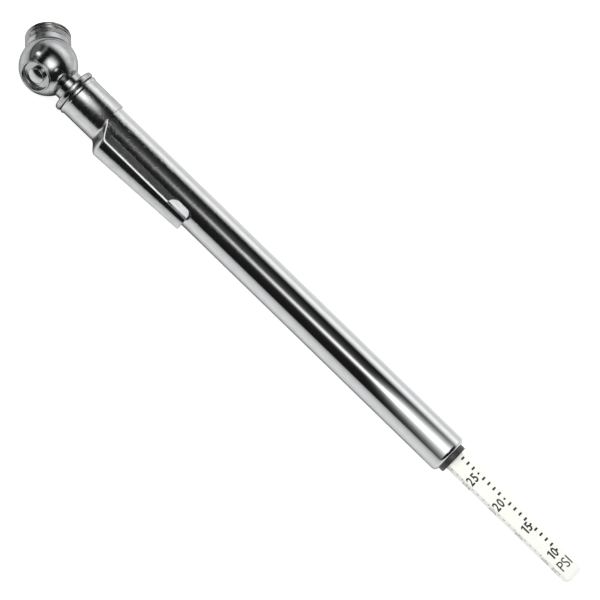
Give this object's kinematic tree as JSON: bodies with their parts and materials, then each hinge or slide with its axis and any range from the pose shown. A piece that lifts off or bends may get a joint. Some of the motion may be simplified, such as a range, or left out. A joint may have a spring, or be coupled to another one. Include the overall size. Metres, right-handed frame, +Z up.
{
  "type": "tire pressure gauge",
  "caption": "Pencil tire pressure gauge with an angled air chuck, a pocket clip and a square indicator bar that slides out of the tube.",
  "frame": {"origin": "centre of the chuck's mouth, where a tyre valve enters", "axes": "+X along the tube from the head to the bar's tip, +Z up as the gauge lies on a flat surface"},
  "size_m": [0.1741, 0.0195, 0.0135],
  "materials": {
    "chrome_head": "polished chrome plate on a brass casting",
    "chrome_ring": "worn chrome plate on turned brass",
    "chrome_nib": "polished chrome plate",
    "chrome_tube": "polished chrome plate on drawn brass tube",
    "chrome_clip": "polished chrome plate on spring steel sheet",
    "black_rubber": "moulded rubber",
    "turned_brass": "turned brass",
    "dark_nylon": "moulded dark nylon",
    "ivory_plastic": "extruded ivory plastic, printed",
    "bright_steel": "bright steel"
  },
  "bodies": {
    "barrel": {"head_casting": "chrome_head", "chuck_ring": "chrome_ring", "chuck_seal": "black_rubber", "depressor_pin": "turned_brass", "deflator_nib": "chrome_nib", "neck_gasket": "black_rubber", "barrel_tube": "chrome_tube", "clip_band": "chrome_clip", "end_bushing": "dark_nylon", "brake_leaf": "bright_steel", "spring_washer": "bright_steel", "main_spring": "bright_steel"},
    "indicator": {"indicator_bar": "ivory_plastic", "bar_stop": "turned_brass", "bar_pin": "bright_steel"},
    "piston": {"piston_body": "turned_brass", "piston_cup": "black_rubber", "cup_plate": "bright_steel", "piston_screw": "bright_steel"},
    "clip": {"clip_tongue": "chrome_clip"}
  },
  "joints": [
    {"name": "bar_slide", "type": "slide", "parent": "barrel", "child": "indicator", "axis": [1, 0, 0], "range_m": [-0.0359, 0.036]},
    {"name": "piston_slide", "type": "slide", "parent": "barrel", "child": "piston", "axis": [1, 0, 0], "range_m": [-0.0359, 0.036], "deforming": ["main_spring"]},
    {"name": "clip_flex", "type": "hinge", "parent": "barrel", "child": "clip", "pos_m": [0.0238, -0.01196, 0.00232], "axis": [0, -0.1908, -0.9816], "range_deg": [0, 5], "stiffness_Nm_per_rad": 0.5}
  ],
  "couplings": [
    {"joint": "piston_slide", "follows": "bar_slide", "ratio": 1}
  ]
}
